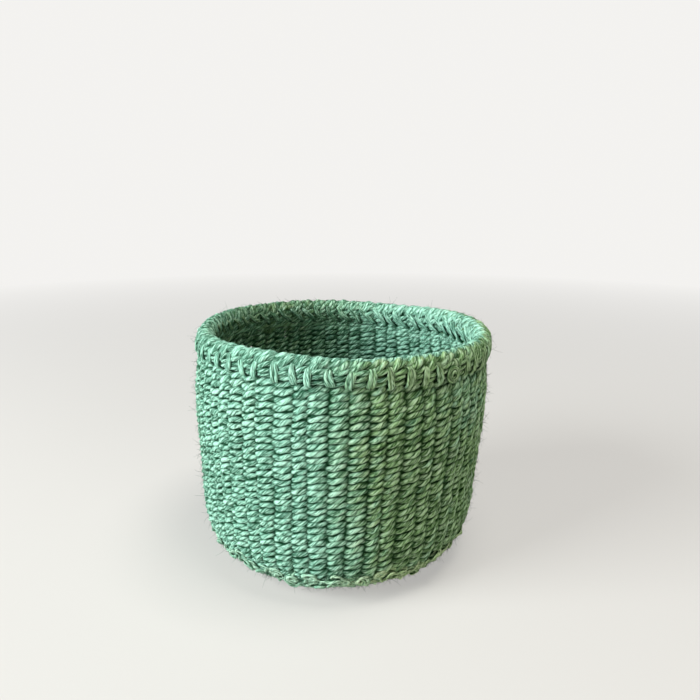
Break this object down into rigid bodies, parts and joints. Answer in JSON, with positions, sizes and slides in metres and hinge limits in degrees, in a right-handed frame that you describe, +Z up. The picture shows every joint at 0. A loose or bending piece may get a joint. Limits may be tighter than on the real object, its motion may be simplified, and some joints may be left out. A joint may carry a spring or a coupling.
{
  "type": "storage basket",
  "caption": "Small round handwoven basket with ribbed twined walls, a rounded base and a folded, stitched rim; open at the top to hold small household things.",
  "frame": {"origin": "centre of the flat underside of the base, on the surface that the basket stands on", "axes": "+Z up along the axis of the round body; X and Y lie in the plane of the base"},
  "size_m": [0.1514, 0.1514, 0.114],
  "materials": {
    "weft_fabric": "twined two-ply sisal, mint and olive green, dry and fibrous",
    "lashing_strand": "pale green sisal strand, dry and fibrous",
    "warp_cord": "dark green sisal cord, dry and fibrous"
  },
  "bodies": {
    "root": {"woven_body": "weft_fabric", "rim_lashing": "lashing_strand", "through_cord_01": "warp_cord", "through_cord_02": "warp_cord", "through_cord_03": "warp_cord", "through_cord_04": "warp_cord", "through_cord_05": "warp_cord", "through_cord_06": "warp_cord", "through_cord_07": "warp_cord", "through_cord_08": "warp_cord", "through_cord_09": "warp_cord", "through_cord_10": "warp_cord", "through_cord_11": "warp_cord", "through_cord_12": "warp_cord", "through_cord_13": "warp_cord", "through_cord_14": "warp_cord", "added_stake_01": "warp_cord", "added_stake_02": "warp_cord", "added_stake_03": "warp_cord", "added_stake_04": "warp_cord", "added_stake_05": "warp_cord", "added_stake_06": "warp_cord", "added_stake_07": "warp_cord", "added_stake_08": "warp_cord", "added_stake_09": "warp_cord", "added_stake_10": "warp_cord", "added_stake_11": "warp_cord", "added_stake_12": "warp_cord", "added_stake_13": "warp_cord", "added_stake_14": "warp_cord", "added_stake_15": "warp_cord", "added_stake_16": "warp_cord", "added_stake_17": "warp_cord", "added_stake_18": "warp_cord", "added_stake_19": "warp_cord", "added_stake_20": "warp_cord", "added_stake_21": "warp_cord", "added_stake_22": "warp_cord", "added_stake_23": "warp_cord", "added_stake_24": "warp_cord", "added_stake_25": "warp_cord", "added_stake_26": "warp_cord", "added_stake_27": "warp_cord", "added_stake_28": "warp_cord"}
  },
  "joints": []
}
